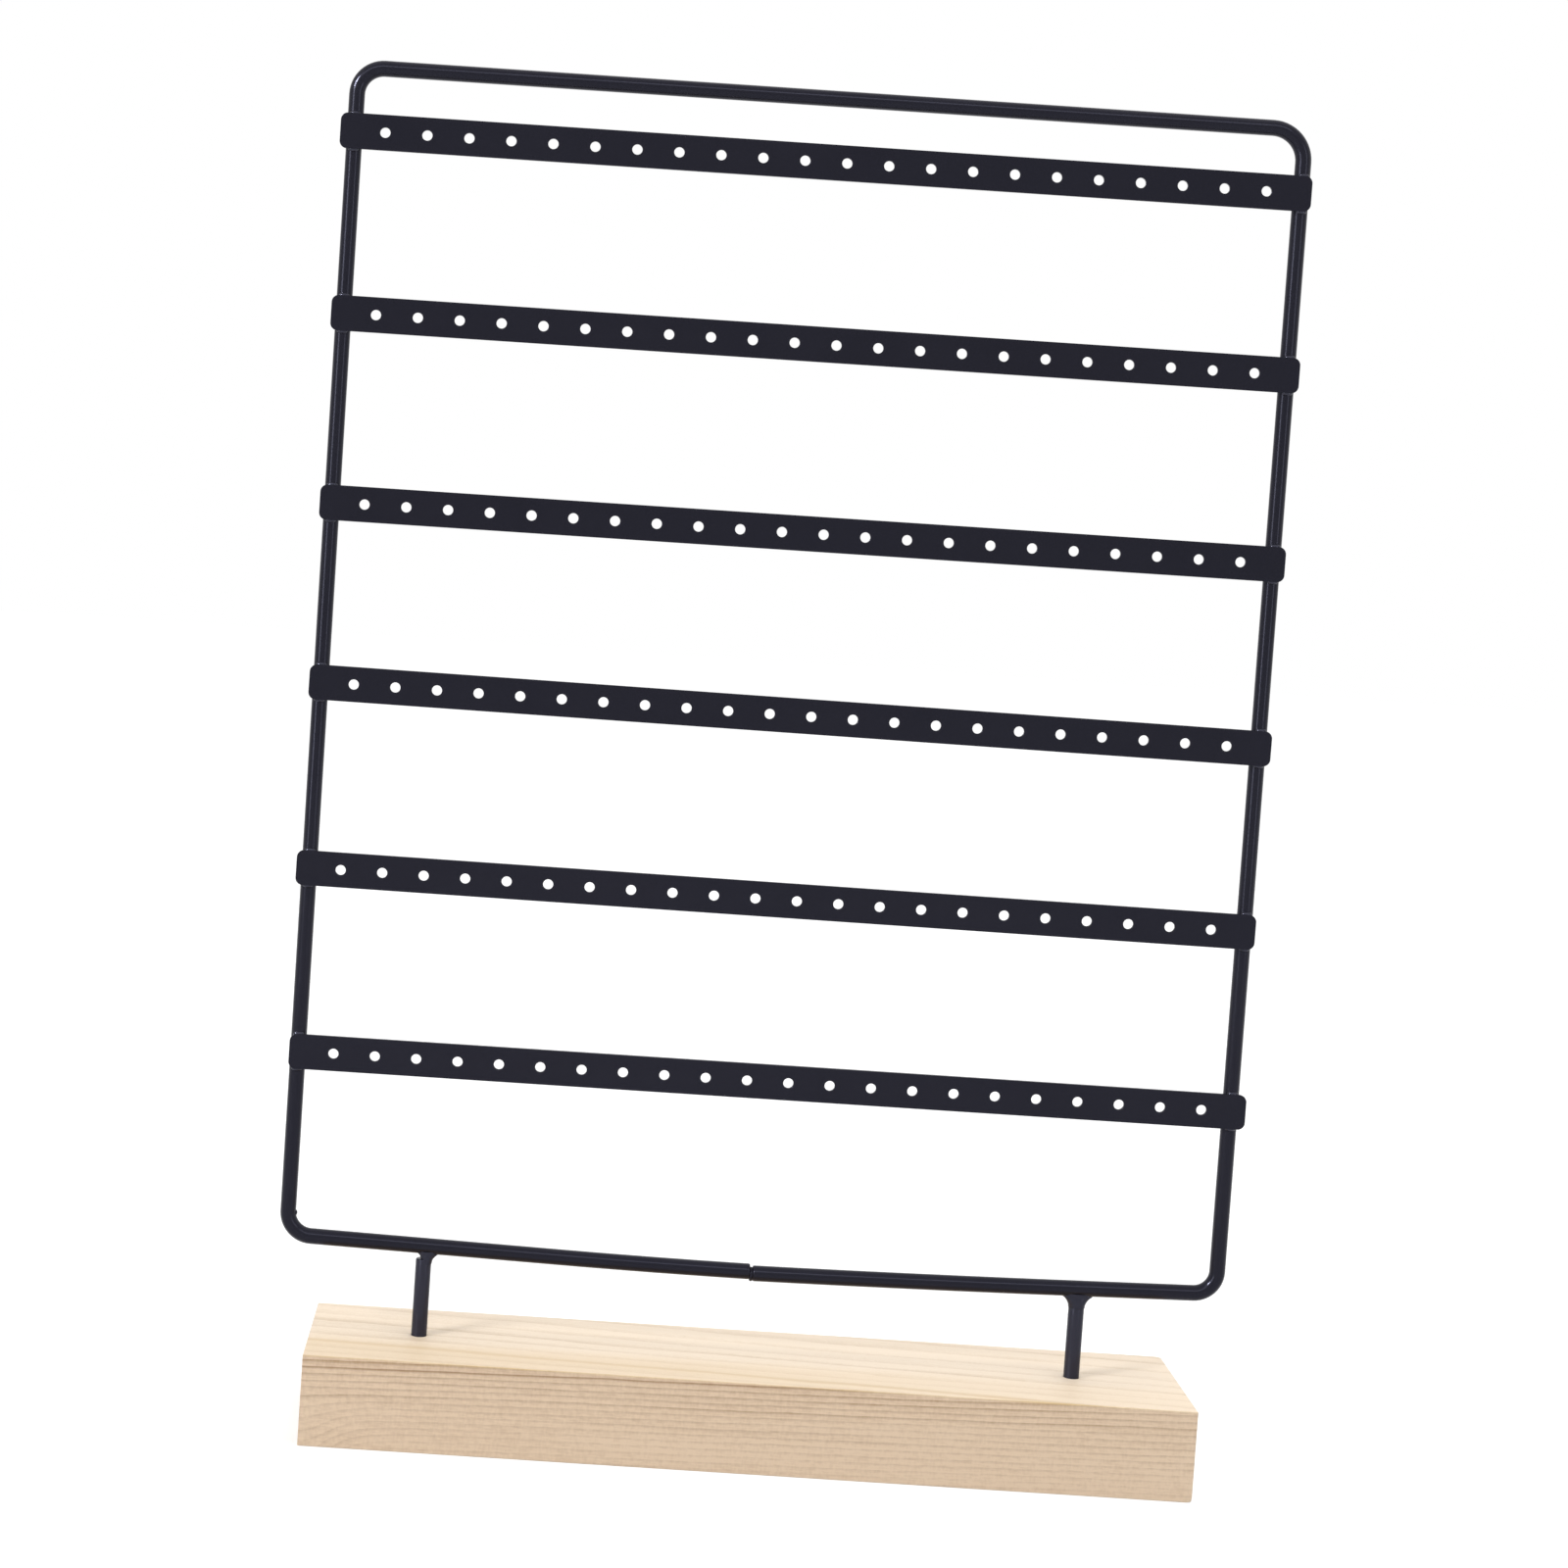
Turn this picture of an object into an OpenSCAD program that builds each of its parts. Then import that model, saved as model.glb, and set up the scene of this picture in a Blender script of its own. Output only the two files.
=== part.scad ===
// Earring display stand: a bent wire frame with six perforated bars, on two legs let into a wooden block.
// Millimetres, +Z up. The origin is the middle of the block's underside. The stand faces -Y.

/* [Wooden base] */
// Length of the block, along X
base_l = 233; // [200:1:300]
// Depth of the block, along Y
base_d = 50; // [30:1:90]
// Height of the block
base_h = 24; // [18:0.5:40]
// Width of the small flat that breaks the block's edges
base_edge = 0.6; // [0.2:0.1:2]

/* [Wire frame] */
// Diameter of the frame's wire
wire_d = 4.2; // [3:0.1:6]
// Width of the frame over the outside of its wire
frame_w = 253; // [200:1:330]
// Height of the frame from its lower corners to its top, over the outside of its wire
frame_h = 314; // [240:1:420]
// Radius of the top left bend, at the middle of the wire
top_left_r = 7; // [5:0.1:12]
// Radius of the top right bend
top_right_r = 8.5; // [5:0.1:12]
// Radius of the bottom left bend
bottom_left_r = 6.5; // [5:0.1:12]
// Radius of the bottom right bend
bottom_right_r = 6.2; // [5:0.1:12]
// Slope of the bottom run's left half, down to the joint
left_slope = 1.2; // [0:0.1:2]
// Slope of the bottom run's right half, down to the joint
right_slope = 1.45; // [0:0.05:2]

/* [Butt joint] */
// Width of the weld between the wire's two ends
joint_gap = 0.7; // [0.4:0.1:1.5]
// How much thinner than the wire this weld is
joint_waste = 0.2; // [0.1:0.05:0.6]
// How far below the middle of the right end this weld's middle lies
joint_sag = 0.15; // [0:0.05:0.4]

/* [Perforated bars] */
// How far a bar reaches past the outside of the wire, at each end
bar_overhang = 0.8; // [0:0.1:4]
// Height of a bar
bar_h = 9.3; // [7:0.1:14]
// Thickness of a bar
bar_t = 1; // [0.6:0.1:2]
// Radius of a bar's corners
bar_corner_r = 1.9; // [0.5:0.1:3]
// Distance from the top of the frame down to the middle of the top bar
top_bar_drop = 19; // [16:0.5:30]
// Distance from the frame's lower corners up to the middle of the bottom bar
bottom_bar_rise = 52; // [18:0.5:80]
// How deep a bar is pressed into the wire where it is welded on
bar_seat = 0.2; // [0.1:0.05:0.4]

/* [Earring holes] */
// Number of holes along a bar
hole_count = 22; // [2:1:30]
// Distance from the end of a bar to the middle of its first hole
hole_end = 11.8; // [8:0.1:20]
// Diameter of a hole
hole_d = 2.7; // [1.5:0.1:4]

/* [Bar welds] */
// Radius of the bead where a bar's edge meets the wire
bead_r = 0.95; // [0.5:0.05:1.4]

/* [Legs] */
// Diameter of a leg
leg_d = 4.2; // [3:0.1:6]
// Distance between the middles of the legs
leg_spacing = 175; // [60:1:190]
// Height of the frame's lower corners above the block
frame_lift = 22.7; // [15:0.5:40]
// Depth of a leg in the block
leg_seat = 15; // [8:0.5:16]
// Clearance between a leg and its hole, on each side
leg_clearance = 0.1; // [0.05:0.05:0.3]
// Gap between a leg's top and the wire, which the weld fills
leg_gap = 1.3; // [0.6:0.1:2]

/* [Leg welds] */
// How far the weld runs down a leg, below the underside of the wire
fillet_h = 3; // [2.2:0.1:4]
// How far the weld spreads along the wire, past the side of a leg
fillet_w = 1.9; // [1:0.1:3]

/* [Hidden] */

bar_count = 6;
// How far each bar, from the top one down, was welded off its even place
bar_shift = [-0.7, -0.2, -0.1, 0, -0.4, 0.7];
bar_lift = [0, 1.1, 0, 0.5, 0, 0];
bar_tilt = [0, 0, 0, 0.3, 0.2, 0];

wire_r = wire_d / 2;
leg_r = leg_d / 2;
frame_bottom = base_h + frame_lift;
frame_top = frame_bottom + frame_h;
// Middle of the wire at the frame's sides, its top and its lower corners
side_x = frame_w / 2 - wire_r;
top_z = frame_top - wire_r;
corner_z = frame_bottom + wire_r;
// Face of the wire that the bars are seated on
seat_y = -(wire_r - bar_seat);
joint_weld_r = wire_r - joint_waste;
bar_l = frame_w + 2 * bar_overhang;
bar_pitch = (frame_h - top_bar_drop - bottom_bar_rise) / (bar_count - 1);
hole_pitch = (bar_l - 2 * hole_end) / (hole_count - 1);

// How far the bottom run stands proud of the bends that it closes over
run_lap = 0.01;
// Cuts reach this far past the faces that they open
past = 1;
// Facets that are only seen in a quick view
$fn = 48;
weld_fn = 24;

// A side is -1 for the left and 1 for the right
function top_r(side) = side < 0 ? top_left_r : top_right_r;
function bottom_r(side) = side < 0 ? bottom_left_r : bottom_right_r;
function slope_of(side) = side < 0 ? left_slope : right_slope;
// Height of the middle of the bottom run, this far out from the middle of the frame
function run_z(side, out) = corner_z - (side_x - bottom_r(side) - out) * tan(slope_of(side));
function bar_z(i) = frame_top - top_bar_drop - (i - 1) * bar_pitch + bar_lift[i - 1];
// Underside of the wire above a leg, and the top of that leg
function wire_under(side) = run_z(side, leg_spacing / 2) - wire_r / cos(slope_of(side));
function leg_top(side) = wire_under(side) - leg_gap;

// A straight stretch of wire between two heights
module upright(x, z0, z1) {
    translate([x, 0, z0])
        cylinder(d = wire_d, h = z1 - z0);
}

// A quarter bend about a line along Y, from one angle on, counted from +X towards +Z
module bend(x, z, r, start) {
    translate([x, 0, z])
        rotate([90, -start, 0])
            rotate_extrude(angle = 90)
                translate([r, 0])
                    circle(d = wire_d);
}

// The right half of the bottom run, from its bend down its slope, cut off upright at the joint.
// It closes over the very end of the bend, so that the kink between them is one smooth surface.
module sloped_run(slope, r) {
    overlap = 2 * r * tan(slope);
    bend_x = side_x - r;
    difference() {
        translate([bend_x, 0, corner_z])
            rotate([0, -90 - slope, 0])
                translate([0, 0, -overlap])
                    cylinder(d = wire_d + 2 * run_lap, h = bend_x + wire_d);
        translate([joint_gap / 2 - 2 * wire_d, -wire_d, corner_z - bend_x * tan(slope) - wire_d])
            cube([2 * wire_d, 2 * wire_d, 2 * wire_d]);
    }
}

module bottom_run(side) {
    if (side > 0)
        sloped_run(right_slope, bottom_right_r);
    else
        mirror([1, 0, 0])
            sloped_run(left_slope, bottom_left_r);
}

module wire_loop() {
    bend(side_x - top_right_r, top_z - top_right_r, top_right_r, 0);
    bend(top_left_r - side_x, top_z - top_left_r, top_left_r, 90);
    bend(bottom_left_r - side_x, corner_z + bottom_left_r, bottom_left_r, 180);
    bend(side_x - bottom_right_r, corner_z + bottom_right_r, bottom_right_r, 270);
    translate([top_left_r - side_x, 0, top_z])
        rotate([0, 90, 0])
            cylinder(d = wire_d, h = 2 * side_x - top_left_r - top_right_r);
    for (side = [-1, 1]) {
        upright(side * side_x, corner_z + bottom_r(side), top_z - top_r(side));
        bottom_run(side);
    }
}

// Puts a bar's own parts, drawn about its middle with its back at y = 0, where the bar was welded on
module at_bar(i) {
    translate([bar_shift[i - 1], seat_y, bar_z(i)])
        rotate([0, bar_tilt[i - 1], 0])
            children();
}

// The flat strip before its holes
module strip() {
    flat_l = bar_l - 2 * bar_corner_r;
    flat_h = bar_h - 2 * bar_corner_r;
    rotate([90, 0, 0])
        linear_extrude(bar_t) {
            square([flat_l, bar_h], center = true);
            square([bar_l, flat_h], center = true);
            for (sx = [-1, 1], sz = [-1, 1])
                translate([sx * flat_l / 2, sz * flat_h / 2])
                    circle(r = bar_corner_r);
        }
}

// The wire bent to a loop, open at the joint by the gap and flattened under each bar
module wire_frame() {
    color("#2b2a31")
        difference() {
            wire_loop();
            for (i = [1 : bar_count])
                at_bar(i)
                    translate([-bar_l / 2, -bar_t, -bar_h / 2])
                        cube([bar_l, bar_t, bar_h]);
        }
}

// The weld between the wire's ends, which leaves a small notch open at the top
module joint_weld() {
    color("#26252b")
        translate([-joint_gap / 2, 0, run_z(1, 0) - joint_sag])
            rotate([0, 90, 0])
                cylinder(r = joint_weld_r, h = joint_gap);
}

module bar(i) {
    color("#22242e")
        at_bar(i)
            difference() {
                strip();
                for (k = [0 : hole_count - 1])
                    translate([(k - (hole_count - 1) / 2) * hole_pitch, past, 0])
                        rotate([90, 0, 0])
                            cylinder(d = hole_d, h = bar_t + 2 * past);
            }
}

// A round bead that stands on a level edge, with its middle at the origin
module bead() {
    rotate_extrude()
        intersection() {
            circle(r = bead_r);
            square(bead_r);
        }
}

// A bead above and below each bar, where its edges cross the two sides of the frame
module bar_welds() {
    color("#33323a")
        for (i = [1 : bar_count], side = [-1, 1])
            difference() {
                at_bar(i)
                    for (edge = [0, 1])
                        mirror([0, 0, edge])
                            translate([side * side_x - bar_shift[i - 1], 0, bar_h / 2])
                                bead();
                upright(side * side_x, bar_z(i) - bar_h, bar_z(i) + bar_h);
            }
}

module leg(side) {
    color("#38393f")
        translate([side * leg_spacing / 2, 0, base_h - leg_seat])
            cylinder(d = leg_d, h = leg_top(side) - base_h + leg_seat);
}

// One level of a weld: an oval from x0 to x1, with its half depth along Y
module weld_level(z, x0, x1, half_depth) {
    translate([(x0 + x1) / 2, 0, z])
        scale([(x1 - x0) / 2, half_depth, 1])
            cylinder(r = 1, h = 0.01, $fn = weld_fn);
}

// A weld under the wire as a stack of levels, each [height, left end, right end, half depth],
// with heights counted from the underside of the wire
module weld_stack(side, levels) {
    color("#2c2b33")
        difference() {
            translate([side * leg_spacing / 2, 0, wire_under(side)])
                for (k = [0 : len(levels) - 2])
                    hull() {
                        weld_level(levels[k][0], levels[k][1], levels[k][2], levels[k][3]);
                        weld_level(levels[k + 1][0], levels[k + 1][1], levels[k + 1][2], levels[k + 1][3]);
                    }
            leg(side);
            bottom_run(side);
        }
}

// The right weld runs evenly round its leg
module right_leg_weld() {
    rim = leg_r + 0.12;
    weld_stack(1, [
        [-fillet_h, -rim, rim, rim],
        [-0.7 * fillet_h, -rim - 0.06 * fillet_w, rim + 0.06 * fillet_w, rim],
        [-0.4 * fillet_h, -rim - 0.3 * fillet_w, rim + 0.3 * fillet_w, rim],
        [-0.15 * fillet_h, -rim - 0.65 * fillet_w, rim + 0.65 * fillet_w, 0.95 * wire_r],
        [0, -rim - fillet_w, rim + fillet_w, 0.9 * wire_r],
        [0.4 * wire_r, -rim - 0.8 * fillet_w, rim + 0.8 * fillet_w, 0.93 * wire_r]
    ]);
}

// The left weld missed the leg's outer side, where the leg's square end shows below a notch
module left_leg_weld() {
    rim = leg_r + 0.12;
    weld_stack(-1, [
        [-0.85 * fillet_h, 0, rim, leg_r],
        [-leg_gap, -0.35 * leg_r, rim + 0.15 * fillet_w, leg_r],
        [-0.15 * fillet_h, -0.5 * leg_r, rim + 0.55 * fillet_w, 0.95 * wire_r],
        [0, -0.75 * leg_r, rim + 0.85 * fillet_w, 0.9 * wire_r],
        [0.4 * wire_r, -0.8 * leg_r, rim + 0.7 * fillet_w, 0.93 * wire_r]
    ]);
}

// A rectangle about the middle with its corners cut off by the edge flat
module eased_rectangle(w, h) {
    e = base_edge;
    polygon([
        [e - w / 2, -h / 2], [w / 2 - e, -h / 2], [w / 2, e - h / 2], [w / 2, h / 2 - e],
        [w / 2 - e, h / 2], [e - w / 2, h / 2], [-w / 2, h / 2 - e], [-w / 2, e - h / 2]
    ]);
}

// The block, with every edge eased and a blind hole for each leg
module base_block() {
    color("#ecdabf")
        difference() {
            translate([0, 0, base_h / 2])
                intersection() {
                    linear_extrude(base_h, center = true)
                        eased_rectangle(base_l, base_d);
                    rotate([90, 0, 0])
                        linear_extrude(base_d, center = true)
                            eased_rectangle(base_l, base_h);
                    rotate([90, 0, 90])
                        linear_extrude(base_l, center = true)
                            eased_rectangle(base_d, base_h);
                }
            for (side = [-1, 1])
                translate([side * leg_spacing / 2, 0, base_h - leg_seat])
                    cylinder(d = leg_d + 2 * leg_clearance, h = leg_seat + past);
        }
}

base_block();
leg(-1);  // left_leg
leg(1);  // right_leg
left_leg_weld();
right_leg_weld();
wire_frame();
joint_weld();
for (i = [1 : bar_count])
    bar(i);
bar_welds();
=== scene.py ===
"""Earring display stand: a black coated wire frame with six perforated bars on a pine block.

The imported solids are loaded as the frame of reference, and each of them is replaced by a detailed
piece at the same place. Lengths in the classes below are in millimetres, unless a docstring says
otherwise. The scene is in metres.
"""

import logging
import math
from dataclasses import dataclass
from enum import Enum
from functools import reduce
from itertools import product
from typing import Callable, Sequence

import bmesh
import bpy
from mathutils import Matrix, Vector

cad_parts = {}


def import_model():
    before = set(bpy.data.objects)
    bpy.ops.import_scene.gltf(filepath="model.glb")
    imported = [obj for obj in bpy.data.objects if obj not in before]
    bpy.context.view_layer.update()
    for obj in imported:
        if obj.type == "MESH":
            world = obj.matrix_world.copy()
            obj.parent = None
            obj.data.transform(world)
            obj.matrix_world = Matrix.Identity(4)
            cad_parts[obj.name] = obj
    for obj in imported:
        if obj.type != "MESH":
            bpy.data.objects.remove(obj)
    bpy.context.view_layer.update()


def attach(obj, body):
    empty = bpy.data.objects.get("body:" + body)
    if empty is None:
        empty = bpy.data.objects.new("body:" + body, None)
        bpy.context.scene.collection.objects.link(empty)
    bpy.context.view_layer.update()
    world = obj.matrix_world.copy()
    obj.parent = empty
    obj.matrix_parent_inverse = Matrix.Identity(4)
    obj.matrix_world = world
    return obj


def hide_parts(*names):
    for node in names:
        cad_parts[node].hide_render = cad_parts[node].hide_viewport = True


MM = 0.001
ROOT = "root"
CLOSE = 0.01 * MM
DOUBLE = 0.002 * MM
BEVEL_STEPS = 3
FACETS = 32

log = logging.getLogger("earring_stand")

Point = tuple[float, float, float]
Colour = tuple[float, float, float]
Spot = tuple[float, float]
Span = tuple[float, float]
Piece = bpy.types.Object
Socket = bpy.types.NodeSocket
Material = bpy.types.Material
Ring = tuple[float, float, float, float]

NOISE_SPAN: Span = (0.3, 0.7)


class Slot(Enum):
    """The record's material slots."""

    WOOD = "pale_wood"
    COAT = "black_coat"
    WELD = "coated_weld"


class Side(Enum):
    """The two sides of the stand, as the sign of X."""

    LEFT = -1
    RIGHT = 1


class Use(Enum):
    """What a lamp is for: whether it lights surfaces, and whether gloss mirrors it."""

    LIGHT = (True, False)
    GLINT = (False, True)


def metres(*values: float) -> Vector:
    """Turns three lengths in millimetres into a vector in metres."""
    return Vector(values) * MM


class Bench:
    """The modelling steps that the pieces share."""

    @staticmethod
    def clear() -> None:
        """Leaves edit mode and deselects everything."""
        if bpy.context.object and bpy.context.object.mode != "OBJECT":
            bpy.ops.object.mode_set(mode="OBJECT")
        bpy.ops.object.select_all(action="DESELECT")

    @staticmethod
    def begin(name: str) -> Piece:
        """Names the primitive that was just added and opens it in edit mode.

        Args:
            name: the piece's name.

        Returns:
            The new piece.
        """
        piece = bpy.context.object
        piece.name = name
        piece.data.name = name
        bpy.ops.object.mode_set(mode="EDIT")
        return piece

    @staticmethod
    def only(piece: Piece) -> None:
        """Makes this piece the only selected and the active one, in object mode."""
        Bench.clear()
        piece.select_set(True)
        bpy.context.view_layer.objects.active = piece

    @staticmethod
    def disc(name: str, radius: float, middle: Vector, turn_y: float = 0.0) -> Piece:
        """Adds a filled disc and opens it in edit mode.

        Args:
            name: the piece's name.
            radius: its radius.
            middle: its middle, in metres.
            turn_y: its turn about Y, in radians.

        Returns:
            The new piece.
        """
        Bench.clear()
        bpy.ops.mesh.primitive_circle_add(
            vertices=FACETS, radius=radius * MM, fill_type="NGON", location=middle, rotation=(0, turn_y, 0)
        )
        return Bench.begin(name)

    @staticmethod
    def settle() -> None:
        """Applies the place, turn and size of the piece that is open in edit mode."""
        bpy.ops.object.mode_set(mode="OBJECT")
        bpy.ops.object.transform_apply()
        bpy.ops.object.mode_set(mode="EDIT")

    @staticmethod
    def pick(piece: Piece, kind: str, inside: Callable[[Vector], bool]) -> None:
        """Selects the points or the edges of a piece that lie in a region.

        Args:
            piece: the piece that is open in edit mode.
            kind: VERT for points or EDGE for edges.
            inside: says for a place in metres whether it is in the region.
        """
        bpy.ops.mesh.select_mode(type=kind)
        bpy.ops.mesh.select_all(action="DESELECT")
        mesh = bmesh.from_edit_mesh(piece.data)
        for point in mesh.verts:
            point.select_set(inside(point.co))
        mesh.select_flush(True)
        bmesh.update_edit_mesh(piece.data)

    @staticmethod
    def draw_out(way: Vector) -> None:
        """Extrudes what is selected along a way in metres."""
        bpy.ops.mesh.extrude_region_move(TRANSFORM_OT_translate={"value": way})

    @staticmethod
    def widen(factors: Point, middle: Vector) -> None:
        """Scales what is selected about a middle in metres."""
        bpy.ops.transform.resize(value=factors, center_override=middle)

    @staticmethod
    def modify(piece: Piece, kind: str, **settings: object) -> None:
        """Adds a modifier to a piece and applies it.

        Args:
            piece: the piece.
            kind: the modifier's type.
            settings: the modifier's own settings.
        """
        Bench.only(piece)
        modifier = piece.modifiers.new(kind.lower(), kind)
        for name, value in settings.items():
            setattr(modifier, name, value)
        bpy.ops.object.modifier_apply(modifier=modifier.name)

    @staticmethod
    def seat(piece: Piece, place: Vector, turn_y: float = 0.0) -> None:
        """Moves a piece that was made at the origin to its place, and applies that.

        Args:
            piece: the piece.
            place: where its origin goes, in metres.
            turn_y: its turn about Y, in radians.
        """
        Bench.only(piece)
        piece.matrix_world = Matrix.Translation(place) @ Matrix.Rotation(turn_y, 4, "Y")
        bpy.ops.object.transform_apply()

    @staticmethod
    def tidy(piece: Piece, angle: float = 40.0) -> None:
        """Applies the place, merges doubles, drops empty faces, turns the faces outwards and smooths them.

        Args:
            piece: the piece.
            angle: edges sharper than this many degrees stay sharp.
        """
        Bench.only(piece)
        bpy.ops.object.transform_apply()
        bpy.ops.object.mode_set(mode="EDIT")
        bpy.ops.mesh.select_all(action="SELECT")
        bpy.ops.mesh.remove_doubles(threshold=DOUBLE)
        bpy.ops.mesh.dissolve_degenerate(threshold=DOUBLE)
        bpy.ops.mesh.normals_make_consistent(inside=False)
        bpy.ops.object.mode_set(mode="OBJECT")
        bpy.ops.object.shade_smooth_by_angle(angle=math.radians(angle))

    @staticmethod
    def copy(piece: Piece, name: str) -> Piece:
        """Copies a piece with a mesh of its own.

        Args:
            piece: the piece to copy, in object mode.
            name: the copy's name.

        Returns:
            The copy, selected and active.
        """
        twin = piece.copy()
        twin.data = piece.data.copy()
        twin.name = name
        twin.data.name = name
        bpy.context.scene.collection.objects.link(twin)
        Bench.only(twin)
        return twin

    @staticmethod
    def join(pieces: Sequence[Piece], name: str) -> Piece:
        """Joins pieces into one.

        Args:
            pieces: the pieces, of which the first takes in the others.
            name: the joined piece's name.

        Returns:
            The joined piece.
        """
        Bench.clear()
        for piece in pieces:
            piece.select_set(True)
        bpy.context.view_layer.objects.active = pieces[0]
        bpy.ops.object.join()
        pieces[0].name = name
        pieces[0].data.name = name
        return pieces[0]


def dress(piece: Piece, material: Material) -> None:
    """Gives a piece one material."""
    piece.data.materials.clear()
    piece.data.materials.append(material)


def declare(piece: Piece, material: Material, slot: Slot, *nodes: str) -> None:
    """Dresses a finished piece and ties it to the frame.

    Args:
        piece: the finished piece.
        material: its material.
        slot: the material slot that its finish belongs to; not used.
        nodes: the solids that it stands for.
    """
    dress(piece, material)
    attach(piece, ROOT)
    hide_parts(*nodes)
    log.info("%s: %d faces", piece.name, len(piece.data.polygons))


class NodeSheet:
    """The node tree of a material or a world, with short ways to add and link its nodes."""

    def __init__(self, owner: Material | bpy.types.World) -> None:
        """Opens the node tree of a new material or world, and empties it.

        Args:
            owner: the material or the world.
        """
        owner.use_nodes = True
        self.owner = owner
        self.tree = owner.node_tree
        self.tree.nodes.clear()

    def add(
        self, kind: str, inputs: dict[str | int, object] | None = None, **settings: object
    ) -> bpy.types.Node:
        """Adds a node.

        Args:
            kind: the node's type, without its ShaderNode prefix.
            inputs: for each input socket, a value or the output socket that feeds it.
            settings: the node's own settings.

        Returns:
            The new node.
        """
        node = self.tree.nodes.new("ShaderNode" + kind)
        for name, value in settings.items():
            setattr(node, name, value)
        for name, value in (inputs or {}).items():
            if isinstance(value, Socket):
                self.tree.links.new(value, node.inputs[name])
            else:
                node.inputs[name].default_value = value
        return node

    def place(self) -> Socket:
        """Gives the object coordinates."""
        node = self.tree.nodes.get("place") or self.add("TexCoord", name="place")
        return node.outputs["Object"]

    def way(self, axis: str) -> Socket:
        """Gives one of the object coordinates."""
        node = self.tree.nodes.get("ways") or self.add("SeparateXYZ", {"Vector": self.place()}, name="ways")
        return node.outputs[axis]

    def maths(self, operation: str, *values: Socket | float) -> Socket:
        """Adds a Math node and returns its output."""
        return self.add("Math", dict(enumerate(values)), operation=operation).outputs[0]

    def times(self, first: Socket, second: Socket | float) -> Socket:
        """Multiplies two values."""
        return self.maths("MULTIPLY", first, second)

    def plus(self, *values: Socket) -> Socket:
        """Adds up values, one after the other."""
        return reduce(lambda total, value: self.maths("ADD", total, value), values)

    def noise(self, sizes: Point, detail: float = 2.0) -> Socket:
        """Adds a noise texture on the object coordinates.

        Args:
            sizes: the size of its grains along each axis.
            detail: how much finer detail it has.

        Returns:
            The noise, mostly between 0.3 and 0.7.
        """
        scale = tuple(1.0 / (MM * size) for size in sizes)
        vector = self.add("Mapping", {"Vector": self.place(), "Scale": scale}).outputs["Vector"]
        return self.add("TexNoise", {"Vector": vector, "Scale": 1.0, "Detail": detail}).outputs["Fac"]

    def spread(self, value: Socket, levels: Span, span: Span = (0.0, 1.0)) -> Socket:
        """Maps a value from its span to levels, and keeps the result within them."""
        limits = {"From Min": span[0], "From Max": span[1], "To Min": levels[0], "To Max": levels[1]}
        return self.add("MapRange", {"Value": value, **limits}).outputs["Result"]

    def fade(self, length: Socket, levels: Span, reach: Span) -> Socket:
        """Maps a length in metres to levels, over a reach in millimetres."""
        return self.spread(length, levels, (reach[0] * MM, reach[1] * MM))

    def bell(self, length: Socket, middle: float, width: float) -> Socket:
        """Adds a bell curve over a length in metres: 1 at its middle, and 0.37 a width away from it."""
        offset = self.maths("DIVIDE", self.maths("SUBTRACT", length, middle * MM), width * MM)
        return self.maths("EXPONENT", self.times(self.maths("POWER", offset, 2.0), -1.0))

    def bump(self, height: Socket, strength: float, depth: float) -> Socket:
        """Adds a relief with a depth in millimetres and returns its normal."""
        values = {"Height": height, "Strength": strength, "Distance": depth * MM}
        return self.add("Bump", values).outputs["Normal"]

    def blend(self, share: Socket, start: Socket | Colour, end: Socket | Colour) -> Socket:
        """Mixes two colours.

        Args:
            share: how much there is of the second colour, kept within 0 and 1.
            start: the first colour, or the socket that gives it.
            end: the second colour, or the socket that gives it.

        Returns:
            The mixed colour.
        """
        values = {"Factor": share}
        for name, colour in (("A", start), ("B", end)):
            values[name] = colour if isinstance(colour, Socket) else (*colour, 1.0)
        return self.add("Mix", values, data_type="RGBA", clamp_factor=True).outputs["Result"]

    def finish(self, shader: Socket) -> Material:
        """Links the shader to the output and returns the material."""
        self.add("OutputMaterial", {"Surface": shader})
        return self.owner


@dataclass(frozen=True)
class Mottle:
    """A stretched noise: its grains along each axis, its levels, its detail, and its own span."""

    sizes: Point
    levels: Span
    detail: float = 2.0
    span: Span = NOISE_SPAN

    def add(self, sheet: NodeSheet) -> Socket:
        """Adds the noise to a node tree and returns its level."""
        return sheet.spread(sheet.noise(self.sizes, self.detail), self.levels, self.span)


@dataclass(frozen=True)
class PowderCoat:
    """A satin powder coat with a fine orange peel, whose tone drifts a little over the piece."""

    name: str = "black_powder_coat"
    dark: Colour = (0.0078, 0.0073, 0.0118)
    light: Colour = (0.0096, 0.0091, 0.0142)
    rough: Span = (0.13, 0.20)
    specular: float = 0.22
    tint: Colour = (0.72, 0.74, 1.0)
    peel: float = 0.8
    peel_strength: float = 0.6
    peel_height: float = 0.007
    drift: float = 22.0
    detail: float = 3.0

    def material(self) -> Material:
        """Builds the material.

        Returns:
            The material.
        """
        sheet = NodeSheet(bpy.data.materials.new(self.name))
        peel = sheet.noise((self.peel,) * 3, self.detail)
        drift = Mottle((self.drift,) * 3, (0.0, 1.0), self.detail).add(sheet)
        shader = sheet.add(
            "BsdfPrincipled",
            {
                "Base Color": sheet.blend(drift, self.dark, self.light),
                "Roughness": sheet.spread(peel, self.rough, NOISE_SPAN),
                "Normal": sheet.bump(peel, self.peel_strength, self.peel_height),
                "Specular IOR Level": self.specular,
                "Specular Tint": (*self.tint, 1.0),
            },
        )
        return sheet.finish(shader.outputs["BSDF"])


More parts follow.
